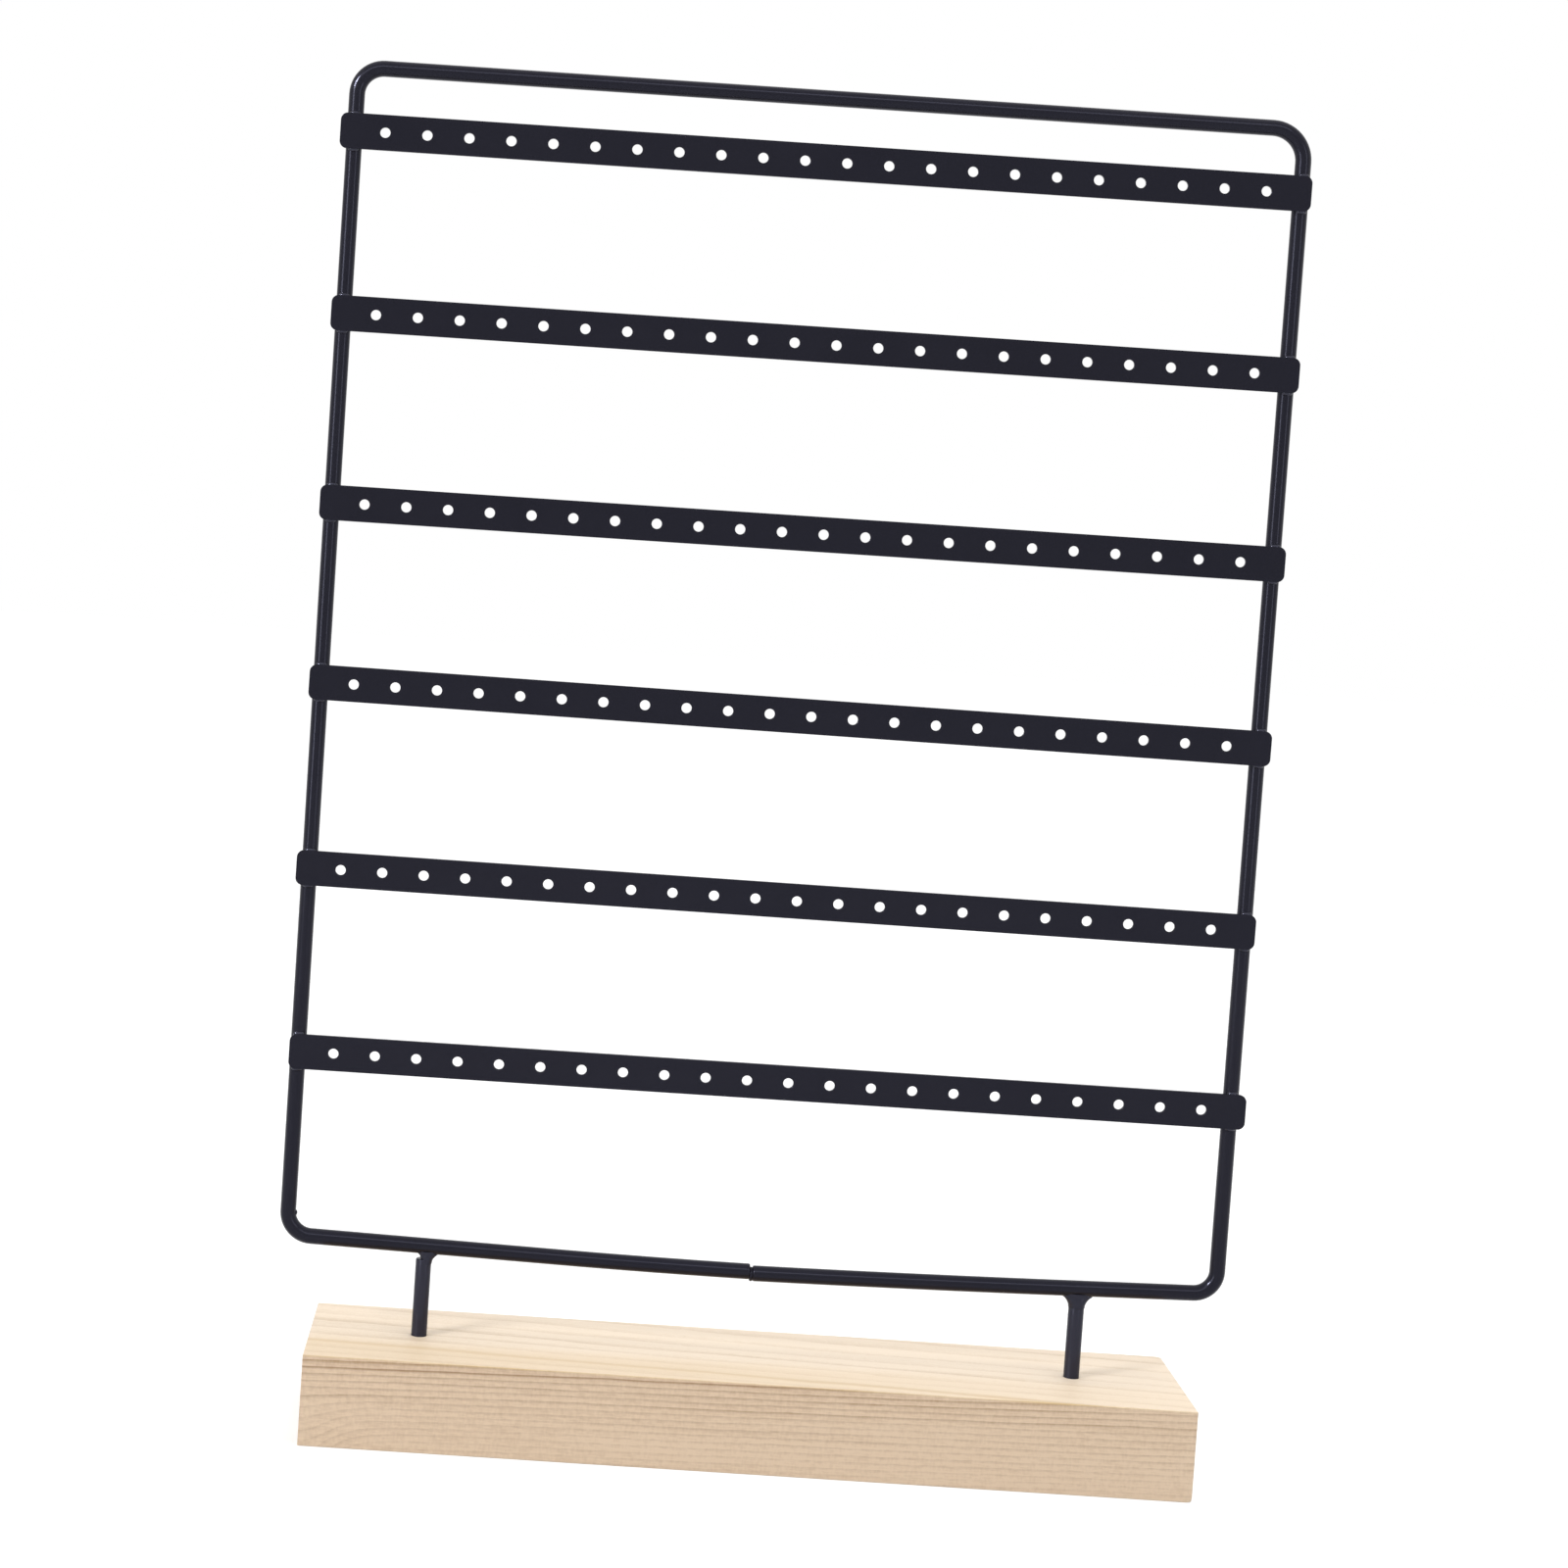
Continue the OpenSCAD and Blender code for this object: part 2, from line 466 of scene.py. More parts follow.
BAR_COAT = PowderCoat()
WIRE_COAT = PowderCoat("satin_black_coat", dark=(0.0086, 0.008, 0.0128), light=(0.011, 0.0104, 0.0158))
# Painted light: the legs' coat is a lighter copy of the black coat. It stands in for light bounced onto the
# legs from the pale block and floor.
LEG_COAT_PAINTED_BOUNCE = PowderCoat("black_coat_painted_bounce", dark=(0.025, 0.025, 0.037), light=(0.030, 0.030, 0.044))
# Painted highlight: the beads' coat is a little lighter than the wire's so that they read as small light
# spots. Their higher gloss is real.
BEAD_COAT_PAINTED_GLINT = PowderCoat(
    "glossy_weld_coat_painted_glint",
    dark=(0.010, 0.0095, 0.015),
    light=(0.012, 0.0115, 0.018),
    rough=(0.12, 0.20),
    specular=0.5,
)
# Painted light: the leg welds' coat is lighter than the wire's, between it and the legs' coat, for the same
# light bounced from the pale block.
COLLAR_COAT_PAINTED_BOUNCE = PowderCoat(
    "weld_coat_painted_bounce",
    dark=(0.021, 0.021, 0.031),
    light=(0.025, 0.025, 0.037),
    rough=(0.14, 0.22),
    specular=0.24,
)


@dataclass(frozen=True)
class RingBand:
    """A soft band along the rings: its distance from the pith, its half width, strength and colour."""

    radius: float
    width: float
    level: float
    colour: Colour

    def add(self, sheet: NodeSheet, radius: Socket) -> Socket:
        """Adds the band's strength at a distance from the pith in metres."""
        return sheet.times(sheet.bell(radius, self.radius, self.width), self.level)


@dataclass(frozen=True)
class Pine:
    """Pale planed pine, with growth rings about a pith that runs far below the block, nearly along X.

    The shares are of the dark colour. Places are the block's own. The top face's paler colours and its paler
    right side are painted light, and the darker faces below it are painted shade.
    """

    name: str = "pale_pine"
    pale: Colour = (0.88, 0.68, 0.488)
    dark: Colour = (0.46, 0.27, 0.13)
    # Painted light: the top face has its own paler copy of the wood colours, for its brighter lit look. The
    # yellower late wood there is grain.
    lit_top_pale: Colour = (0.885, 0.712, 0.518)
    lit_top_dark: Colour = (0.52, 0.33, 0.12)
    stain: RingBand = RingBand(465.3, 0.45, 0.95, (0.66, 0.45, 0.20))
    pitch: RingBand = RingBand(466.7, 0.22, 0.5, (0.40, 0.22, 0.11))
    rough: Span = (0.42, 0.56)
    specular: float = 0.5
    sheen: float = 0.6
    sheen_rough: float = 0.5
    relief: float = 0.4
    relief_depth: float = 0.06
    relief_lines: float = 0.4
    relief_fibre: float = 0.6
    pith_y: float = 120.0
    pith_z: float = -420.0
    drift: float = 0.0215
    wobble: Mottle = Mottle((120.0, 14.0, 14.0), (-0.9 * MM, 0.9 * MM), span=(0.0, 1.0))
    ripple: Mottle = Mottle((22.0, 3.0, 3.0), (-0.25 * MM, 0.25 * MM), span=(0.0, 1.0))
    curl_x: float = -116.5
    curl_width: float = 12.0
    curl_drop: float = 6.5
    curl_top: float = 15.0
    ring: float = 1.65
    late_wood: tuple[Spot, ...] = ((0.45, 0.08), (0.72, 0.6), (0.87, 1.0), (0.97, 0.3))
    ring_strength: Span = (0.60, 0.95)
    patches: Mottle = Mottle((60.0, 7.0, 7.0), (0.6, 1.0))
    height_strength: Span = (0.4, 1.35)
    height_reach: Span = (7.0, 24.0)
    line_share: float = 0.76
    top_line_share: float = 0.6
    streaks: Mottle = Mottle((90.0, 3.0, 3.0), (-0.06, 0.14), 3.0, (0.25, 0.75))
    fibre_size: Point = (2.4, 0.4, 0.4)
    fibre_detail: float = 4.0
    fibre_share: Span = (-0.13, 0.11)
    ticks: Mottle = Mottle((0.7, 0.7, 1.6), (-0.07, 0.07), 1.0)
    dense_share: float = 0.11
    dense_reach: Span = (456.0, 470.0)
    end_share: float = 0.16
    end_reach: Span = (116.3, 116.45)
    # Painted shade: the faces below the top get this much more of the dark colour.
    front_painted_shade: float = 0.025
    top_reach: Span = (23.4, 23.9)
    # Painted light: the top face is a little darker at its left end and paler from just left of the middle to
    # the right.
    top_painted_light: Span = (0.02, -0.09)
    top_painted_light_reach: Span = (-100.0, -20.0)
    band_level: float = 0.42
    band_reach: Span = (-4.0, -12.0)
    band_fade: Span = (1.0, 0.3)
    band_fade_reach: Span = (0.0, 116.3)

    def material(self) -> Material:
        """Builds the material.

        Returns:
            The material.
        """
        sheet = NodeSheet(bpy.data.materials.new(self.name))
        radius = self._radius(sheet)
        fibre = sheet.noise(self.fibre_size, self.fibre_detail)
        on_top = sheet.fade(sheet.way("Z"), (0.0, 1.0), self.top_reach)
        below = sheet.maths("SUBTRACT", 1.0, on_top)
        lines = sheet.times(self._lines(sheet, radius), sheet.spread(on_top, (1.0, self.top_line_share)))
        tone = self._tone(sheet, radius, lines, fibre)
        # Painted light: the top face is paler from just left of the middle to the right, and a little darker
        # at its left end.
        paler = sheet.fade(sheet.way("X"), self.top_painted_light, self.top_painted_light_reach)
        tone = sheet.maths("MULTIPLY_ADD", paler, on_top, tone)
        # Painted shade: the faces below the top are a little darker.
        tone = sheet.maths("MULTIPLY_ADD", below, self.front_painted_shade, tone)
        front = sheet.blend(tone, self.pale, self.dark)
        # The top face's paler colours are painted light for its brighter lit look.
        top = sheet.blend(tone, self.lit_top_pale, self.lit_top_dark)
        colour = sheet.blend(on_top, front, top)
        colour = sheet.blend(sheet.times(self._yellow(sheet, radius), on_top), colour, self.stain.colour)
        colour = sheet.blend(sheet.times(self.pitch.add(sheet, radius), below), colour, self.pitch.colour)
        height = sheet.plus(sheet.times(lines, self.relief_lines), sheet.times(fibre, self.relief_fibre))
        shader = sheet.add(
            "BsdfPrincipled",
            {
                "Base Color": colour,
                "Roughness": sheet.spread(fibre, self.rough, NOISE_SPAN),
                "Normal": sheet.bump(height, self.relief, self.relief_depth),
                "Specular IOR Level": self.specular,
                "Sheen Weight": self.sheen,
                "Sheen Roughness": self.sheen_rough,
            },
        )
        return sheet.finish(shader.outputs["BSDF"])

    def _radius(self, sheet: NodeSheet) -> Socket:
        """Adds the distance from the pith, which wobbles and curls down at the block's lower left.

        Args:
            sheet: the node tree.

        Returns:
            The distance in metres.
        """
        pith_z = sheet.maths("MULTIPLY_ADD", sheet.way("X"), self.drift, self.pith_z * MM)
        across = sheet.maths("POWER", sheet.maths("SUBTRACT", self.pith_y * MM, sheet.way("Y")), 2.0)
        above = sheet.maths("POWER", sheet.maths("SUBTRACT", sheet.way("Z"), pith_z), 2.0)
        straight = sheet.maths("SQRT", sheet.plus(across, above))
        radius = sheet.plus(straight, self.wobble.add(sheet), self.ripple.add(sheet))
        near_end = sheet.bell(sheet.way("X"), self.curl_x, self.curl_width)
        low = sheet.fade(sheet.way("Z"), (self.curl_drop * MM, 0.0), (0.0, self.curl_top))
        return sheet.maths("MULTIPLY_ADD", near_end, low, radius)

    def _lines(self, sheet: NodeSheet, radius: Socket) -> Socket:
        """Adds the thin late wood of each ring, some rings darker than others, and all fainter low down.

        Args:
            sheet: the node tree.
            radius: the distance from the pith in metres.

        Returns:
            How dark the late wood is, from 0 up.
        """
        turns = sheet.maths("DIVIDE", radius, self.ring * MM)
        late = sheet.add("ValToRGB", {"Fac": sheet.maths("FRACT", turns)})
        ramp = late.color_ramp
        ramp.interpolation = "EASE"
        ramp.elements[0].color = (0.0, 0.0, 0.0, 1.0)
        ramp.elements[-1].color = (0.0, 0.0, 0.0, 1.0)
        for spot, level in self.late_wood:
            ramp.elements.new(spot).color = (level, level, level, 1.0)
        number = sheet.add("TexWhiteNoise", {"W": sheet.maths("FLOOR", turns)}, noise_dimensions="1D")
        strength = sheet.spread(number.outputs["Value"], self.ring_strength)
        lines = sheet.times(late.outputs["Color"], strength)
        lines = sheet.times(lines, self.patches.add(sheet))
        return sheet.times(lines, sheet.fade(sheet.way("Z"), self.height_strength, self.height_reach))

    def _tone(self, sheet: NodeSheet, radius: Socket, lines: Socket, fibre: Socket) -> Socket:
        """Adds up what darkens the wood: its lines, streaks, fibres, ticks, dense outer rings and end grain.

        Args:
            sheet: the node tree.
            radius: the distance from the pith in metres.
            lines: how dark the late wood is.
            fibre: the fine fibre noise.

        Returns:
            The share of the dark colour.
        """
        return sheet.plus(
            sheet.times(lines, self.line_share),
            self.streaks.add(sheet),
            sheet.spread(fibre, self.fibre_share, NOISE_SPAN),
            self.ticks.add(sheet),
            sheet.fade(radius, (0.0, self.dense_share), self.dense_reach),
            sheet.fade(sheet.maths("ABSOLUTE", sheet.way("X")), (0.0, self.end_share), self.end_reach),
        )

    def _yellow(self, sheet: NodeSheet, radius: Socket) -> Socket:
        """Adds the yellow of the stained rings and of a wide band along the front, fainter to the right.

        Args:
            sheet: the node tree.
            radius: the distance from the pith in metres.

        Returns:
            The share of the stain's colour.
        """
        band = sheet.fade(sheet.way("Y"), (0.0, self.band_level), self.band_reach)
        band = sheet.times(band, sheet.fade(sheet.way("X"), self.band_fade, self.band_fade_reach))
        return sheet.maths("MAXIMUM", self.stain.add(sheet, radius), band)


@dataclass
class WoodenBase:
    """The pine block with a blind hole for each leg."""

    length: float = 233.0
    depth: float = 50.0
    height: float = 24.0
    edge: float = 0.5
    worn: float = 1.7
    leg_spacing: float = 175.0
    hole_d: float = 4.4
    hole_depth: float = 15.0
    drill_past: float = 2.0

    def build(self) -> Piece:
        """Models the block, softens its edges and bores the two holes.

        Returns:
            The finished block.
        """
        Bench.clear()
        bpy.ops.mesh.primitive_cube_add(size=1.0, location=metres(0, 0, self.height / 2))
        block = Bench.begin("pine_block")
        bpy.ops.transform.resize(value=metres(self.length, self.depth, self.height))
        for back, up in ((-1, -1), (1, 1)):
            self._wear(block, metres(self.length / 2, back * self.depth / 2, up * self.height / 2))
        bpy.ops.mesh.select_mode(type="EDGE")
        bpy.ops.mesh.select_all(action="DESELECT")
        bpy.ops.mesh.edges_select_sharp(sharpness=math.radians(30))
        bpy.ops.mesh.bevel(offset=self.edge * MM, segments=BEVEL_STEPS, affect="EDGES", clamp_overlap=True)
        for side in Side:
            self._bore(block, side)
        Bench.tidy(block, angle=35.0)
        Bench.modify(block, "WEIGHTED_NORMAL", keep_sharp=True)
        return block

    def _wear(self, block: Piece, corner: Vector) -> None:
        """Rounds one corner of the block, which is open in edit mode, by its place in metres."""
        Bench.pick(block, "VERT", lambda place: (place - corner).length < CLOSE)
        bpy.ops.mesh.bevel(offset=self.worn * MM, segments=BEVEL_STEPS, affect="VERTICES")

    def _bore(self, block: Piece, side: Side) -> None:
        """Cuts the blind hole for one leg.

        Args:
            block: the block.
            side: which leg.
        """
        Bench.clear()
        centre = self.height + (self.drill_past - self.hole_depth) / 2
        bpy.ops.mesh.primitive_cylinder_add(
            vertices=FACETS,
            radius=self.hole_d / 2 * MM,
            depth=(self.hole_depth + self.drill_past) * MM,
            location=metres(side.value * self.leg_spacing / 2, 0, centre),
        )
        drill = bpy.context.object
        Bench.modify(block, "BOOLEAN", operation="DIFFERENCE", object=drill, solver="EXACT")
        bpy.data.objects.remove(drill)


@dataclass(frozen=True)
class LowerHalf:
    """Half of the bottom run: its slope in degrees, its bend's radius, and how far up and out it is bowed."""

    degrees: float
    bend_r: float
    rise: float
    reach: float

    def slope(self) -> float:
        """Gives the slope in radians."""
        return math.radians(self.degrees)


@dataclass
class WireLoop:
    """The bent wire, drawn from the joint's right end round to its left end."""

    wire_d: float = 4.2
    width: float = 253.0
    height: float = 314.0
    lift: float = 46.7
    joint_gap: float = 0.7
    left: LowerHalf = LowerHalf(1.2, 6.5, 0.55, 52.0)
    right: LowerHalf = LowerHalf(1.45, 6.2, 0.62, 85.0)
    top_right_r: float = 8.5
    top_left_r: float = 7.0
    end_round: float = 0.45
    burr_r: float = 0.7
    burr_shape: Point = (0.9, 1.3, 1.2)
    burr_depth: float = 0.25
    burr_drop: float = 0.4
    bend_steps: int = 14
    bow_steps: int = 10

    def side_x(self) -> float:
        """Gives the middle of the wire at the sides."""
        return (self.width - self.wire_d) / 2

    def low_z(self) -> float:
        """Gives the middle of the wire at the lower corners."""
        return self.lift + self.wire_d / 2

    def high_z(self) -> float:
        """Gives the middle of the wire at the top."""
        return self.lift + self.height - self.wire_d / 2

    def half(self, x: float) -> LowerHalf:
        """Gives the half of the bottom run that X, or its sign alone, is in."""
        return self.left if x < 0 else self.right

    def run_z(self, x: float) -> float:
        """Gives the height of the middle of the bottom run.

        Args:
            x: the place along it, from the joint.

        Returns:
            The height.
        """
        half = self.half(x)
        straight = self.low_z() - (self.side_x() - half.bend_r - abs(x)) * math.tan(half.slope())
        return straight + half.rise * max(0.0, 1 - abs(x) / half.reach) ** 2

    def under_z(self, x: float) -> float:
        """Gives the height of the underside of the bottom run at a place along it."""
        half = self.half(x)
        return self.run_z(x) - self.wire_d / 2 / math.cos(half.slope())

    def bow_points(self, side: Side) -> list[Spot]:
        """Lists places along the bow of one half of the bottom run.

        Args:
            side: which half.

        Returns:
            X and Z of the wire's middle, from the joint outwards.
        """
        start, reach = self.joint_gap / 2, self.half(side.value).reach
        places = [start + (reach - start) * step / self.bow_steps for step in range(self.bow_steps + 1)]
        return [(side.value * place, self.run_z(side.value * place)) for place in places]

    def bottom_bend(self, side: Side) -> Spot:
        """Finds the middle of a lower bend, which touches its side and its sloping run.

        Args:
            side: which lower bend.

        Returns:
            The middle's X and Z.
        """
        half = self.half(side.value)
        x = side.value * (self.side_x() - half.bend_r)
        return x, self.run_z(x) + half.bend_r / math.cos(half.slope())

    def build(self) -> Piece:
        """Draws the wire out and bends it, then softens its two ends.

        Returns:
            The finished wire.
        """
        quarter = math.pi / 2
        right, left = self.right.slope(), self.left.slope()
        across, top = self.side_x(), self.high_z()
        here = (self.joint_gap / 2, self.run_z(self.joint_gap / 2))
        start = metres(here[0], 0, here[1])
        wire = Bench.disc("bent_wire", self.wire_d / 2, start, quarter - right)
        Bench.settle()
        bpy.ops.mesh.select_all(action="SELECT")
        for point in self.bow_points(Side.RIGHT)[1:]:
            here = self._run(here, point)
        bends = (
            (self.bottom_bend(Side.RIGHT), self.right.bend_r, right - quarter, quarter - right),
            ((across - self.top_right_r, top - self.top_right_r), self.top_right_r, 0.0, quarter),
            ((self.top_left_r - across, top - self.top_left_r), self.top_left_r, quarter, quarter),
            (self.bottom_bend(Side.LEFT), self.left.bend_r, math.pi, quarter - left),
        )
        for middle, radius, first, turn in bends:
            here = self._bend(here, middle, radius, first, turn)
        for point in reversed(self.bow_points(Side.LEFT)):
            here = self._run(here, point)
        self._soften_ends(wire)
        self._add_burr()
        Bench.tidy(wire, angle=50.0)
        return wire

    def _run(self, start: Spot, end: Spot) -> Spot:
        """Draws the wire's selected end straight on from one X and Z to another, and returns the latter."""
        Bench.draw_out(metres(end[0] - start[0], 0, end[1] - start[1]))
        return end

    def _bend(self, start: Spot, middle: Spot, radius: float, first: float, turn: float) -> Spot:
        """Draws the selected end of the wire straight on to a bend and then round it.

        Args:
            start: X and Z of the selected end.
            middle: X and Z of the bend's middle.
            radius: the bend's radius.
            first: where the bend starts, as its angle about the middle, in radians from X towards Z.
            turn: how far it turns, in radians.

        Returns:
            X and Z of the bend's end.
        """
        near, far = (
            (middle[0] + radius * math.cos(angle), middle[1] + radius * math.sin(angle))
            for angle in (first, first + turn)
        )
        self._run(start, near)
        centre = metres(middle[0], 0, middle[1])
        bpy.ops.mesh.spin(steps=self.bend_steps, angle=turn, center=centre, axis=(0, 1, 0))
        return far

    def _soften_ends(self, wire: Piece) -> None:
        """Rounds the rims of the two cut ends of the wire, which is open in edit mode."""
        Bench.pick(wire, "EDGE", lambda place: abs(place.x) < self.joint_gap * MM)
        bpy.ops.mesh.bevel(offset=self.end_round * MM, segments=BEVEL_STEPS, affect="EDGES")

    def _add_burr(self) -> None:
        """Adds the small lump that the bending tool left inside the lower left bend."""
        x, z = self.bottom_bend(Side.LEFT)
        inside = self.left.bend_r - self.wire_d / 2
        bpy.ops.mesh.select_all(action="DESELECT")
        place = metres(x - inside - self.burr_depth, 0, z - self.burr_drop)
        bpy.ops.mesh.primitive_uv_sphere_add(
            segments=16, ring_count=10, radius=self.burr_r * MM, location=place
        )
        Bench.widen(self.burr_shape, place)


@dataclass
class EndJoint:
    """The thin weld between the two ends of the wire."""

    gap: float = 0.7
    overlap: float = 0.15
    radius: float = 1.95
    sag: float = 0.22
    middle_x: float = 0.1
    first_ring: float = 0.86
    ring_growth: tuple[float, ...] = (1.1, 1.05, 0.95, 0.91)

    def build(self, loop: WireLoop) -> Piece:
        """Models the weld as a lumpy disc that bulges a little at its foot.

        Args:
            loop: the wire that it closes.

        Returns:
            The finished weld.
        """
        half = self.gap / 2 + self.overlap
        middle = loop.run_z(self.middle_x) - self.sag
        start, radius = metres(-half, 0, middle), self.first_ring * self.radius
        weld = Bench.disc("joint_weld_bead", radius, start, math.pi / 2)
        centre = metres(0, 0, middle)
        step = metres(2 * half / len(self.ring_growth), 0, 0)
        for factor in self.ring_growth:
            Bench.draw_out(step)
            Bench.widen((1.0, factor, factor), centre)
        Bench.tidy(weld, angle=60.0)
        return weld


@dataclass
class PerforatedBar:
    """A flat strip with rounded corners and a row of round holes.

    shifts, lifts and tilts say how far each of the six is off its even place, sideways, up and in degrees.
    """

    length: float = 254.6
    height: float = 9.3
    thickness: float = 1.0
    corner_r: float = 1.9
    hole_count: int = 22
    hole_end: float = 11.8
    hole_d: float = 2.7
    edge: float = 0.2
    back_y: float = -1.9
    cuts: int = 8
    corner_steps: int = 6
    shifts: tuple[float, ...] = (-0.7, -0.2, -0.1, 0.0, -0.4, 0.7)
    lifts: tuple[float, ...] = (0.0, 1.1, 0.0, 0.5, 0.0, 0.0)
    tilts: tuple[float, ...] = (0.0, 0.0, 0.0, 0.3, 0.2, 0.0)
    top_z: float = 341.7
    pitch: float = 48.6

    def hole_pitch(self) -> float:
        """Gives the distance between two holes."""
        return (self.length - 2 * self.hole_end) / (self.hole_count - 1)

    def middle_z(self, index: int) -> float:
        """Gives the height of the middle of a bar, by its number from the top, from 0."""
        return self.top_z - index * self.pitch + self.lifts[index]

    def build(self) -> Piece:
        """Models one bar about the origin, with its back at Y = 0.

        Returns:
            The bar, not yet at its place.
        """
        bar = self._cell()
        pitch = self.hole_pitch()
        Bench.modify(
            bar,
            "ARRAY",
            count=self.hole_count,
            use_relative_offset=False,
            use_constant_offset=True,
            constant_offset_displace=metres(pitch, 0, 0),
            use_merge_vertices=True,
            merge_threshold=CLOSE,
        )
        Bench.seat(bar, metres(-pitch * (self.hole_count - 1) / 2, 0, 0))
        for side in Side:
            self._draw_tab(bar, side)
        Bench.tidy(bar)
        Bench.modify(bar, "SOLIDIFY", thickness=self.thickness * MM, offset=-1.0)
        front = min(point.co.y for point in bar.data.vertices)
        Bench.seat(bar, Vector((0.0, -front - self.thickness * MM, 0.0)))
        Bench.modify(
            bar,
            "BEVEL",
            width=self.edge * MM,
            segments=BEVEL_STEPS,
            limit_method="ANGLE",
            angle_limit=math.radians(50),
        )
        Bench.tidy(bar, angle=60.0)
        Bench.modify(bar, "WEIGHTED_NORMAL", keep_sharp=False)
        return bar

    def _cell(self) -> Piece:
        """Models the piece of strip round one hole: a rectangle bridged to a circle.

        Returns:
            The open cell in the plane of X and Z.
        """
        pitch = self.hole_pitch()
        Bench.clear()
        bpy.ops.mesh.primitive_grid_add(
            x_subdivisions=self.cuts, y_subdivisions=self.cuts, size=1.0, rotation=(math.pi / 2, 0, 0)
        )
        cell = Bench.begin("bar_cell")
        bpy.ops.transform.resize(value=metres(pitch, 1, self.height))
        Bench.settle()
        inner_x, inner_z = pitch / 2 * MM - CLOSE, self.height / 2 * MM - CLOSE
        Bench.pick(cell, "VERT", lambda place: abs(place.x) < inner_x and abs(place.z) < inner_z)
        bpy.ops.mesh.delete(type="VERT")
        bpy.ops.mesh.primitive_circle_add(
            vertices=4 * self.cuts, radius=self.hole_d / 2 * MM, rotation=(math.pi / 2, 0, 0)
        )
        bpy.ops.mesh.select_mode(type="EDGE")
        bpy.ops.mesh.select_all(action="SELECT")
        bpy.ops.mesh.bridge_edge_loops()
        return cell

    def _draw_tab(self, bar: Piece, side: Side) -> None:
        """Draws the end of the strip out past its last hole and rounds its two corners.

        Args:
            bar: the strip.
            side: which end.
        """
        Bench.only(bar)
        bpy.ops.object.mode_set(mode="EDIT")
        end = self.length / 2 - self.hole_end + self.hole_pitch() / 2
        edge = side.value * end * MM
        Bench.pick(bar, "EDGE", lambda place: abs(place.x - edge) < CLOSE)
        Bench.draw_out(metres(side.value * (self.length / 2 - self.corner_r - end), 0, 0))
        half = self.height / 2
        out, up = 0.0, half
        for step in range(1, self.corner_steps + 1):
            angle = math.pi / 2 * step / self.corner_steps
            next_out = self.corner_r * math.sin(angle)
            next_up = half - self.corner_r + self.corner_r * math.cos(angle)
            Bench.draw_out(metres(side.value * (next_out - out), 0, 0))
            Bench.widen((1.0, 1.0, next_up / up), Vector((0.0, 0.0, 0.0)))
            out, up = next_out, next_up

    def place(self, bar: Piece, index: int) -> None:
        """Moves a bar from the origin to where it was welded on, by its number from the top, from 0."""
        middle = metres(self.shifts[index], self.back_y, self.middle_z(index))
        Bench.seat(bar, middle, math.radians(self.tilts[index]))


@dataclass
class BarWelds:
    """The small welds above and below each bar where it crosses the sides of the frame."""

    radius: float = 0.95
    shape: Point = (1.5, 0.85, 0.75)
    sunk: float = 0.25
    behind: float = 0.05
    side_x: float = 124.4

    def build(self, bars: PerforatedBar) -> Piece:
        """Models one weld and copies it to each crossing.

        Args:
            bars: the bars that are welded on.

        Returns:
            All welds as one piece.
        """
        Bench.clear()
        bpy.ops.mesh.primitive_uv_sphere_add(segments=20, ring_count=12, radius=self.radius * MM)
        bead = Bench.begin("bar_weld_beads")
        bpy.ops.transform.resize(value=self.shape)
        bpy.ops.mesh.select_all(action="SELECT")
        bpy.ops.mesh.bisect(
            plane_co=metres(0, 0, -self.sunk), plane_no=(0, 0, -1), clear_outer=True, use_fill=True
        )
        bpy.ops.object.mode_set(mode="OBJECT")
        copies = []
        for index, side, edge in product(range(len(bars.lifts)), Side, (-1, 1)):
            twin = Bench.copy(bead, "bar_weld")
            if edge < 0:
                twin.matrix_world = Matrix.Rotation(math.pi, 4, "X")
                bpy.ops.object.transform_apply()
            x = side.value * self.side_x
            z = bars.middle_z(index) - x * math.sin(math.radians(bars.tilts[index])) + edge * bars.height / 2
            Bench.seat(twin, metres(x, bars.back_y - self.behind, z))
            copies.append(twin)
        bpy.data.objects.remove(bead)
        welds = Bench.join(copies, "bar_weld_beads")
        Bench.tidy(welds, angle=60.0)
        return welds


@dataclass
class Leg:
    """A short rod with a cut top, let into the block."""

    diameter: float = 4.2
    spacing: float = 175.0
    block_height: float = 24.0
    seat: float = 15.0
    gap: float = 1.3
    end_round: float = 0.35

    def build(self, side: Side, loop: WireLoop) -> Piece:
        """Models one leg from its seat up to just under the wire.

        Args:
            side: which leg.
            loop: the wire above it.

        Returns:
            The finished leg.
        """
        x = side.value * self.spacing / 2
        top = loop.under_z(x) - self.gap
        foot = metres(x, 0, self.block_height - self.seat)
        leg = Bench.disc(f"{side.name.lower()}_leg_rod", self.diameter / 2, foot)
        Bench.draw_out(metres(0, 0, self.seat))
        Bench.draw_out(metres(0, 0, top - self.block_height))
        bpy.ops.mesh.select_mode(type="EDGE")
        bpy.ops.mesh.select_all(action="DESELECT")
        bpy.ops.mesh.edges_select_sharp(sharpness=math.radians(50))
        bpy.ops.mesh.bevel(offset=self.end_round * MM, segments=BEVEL_STEPS, affect="EDGES")
        Bench.tidy(leg, angle=50.0)
        return leg


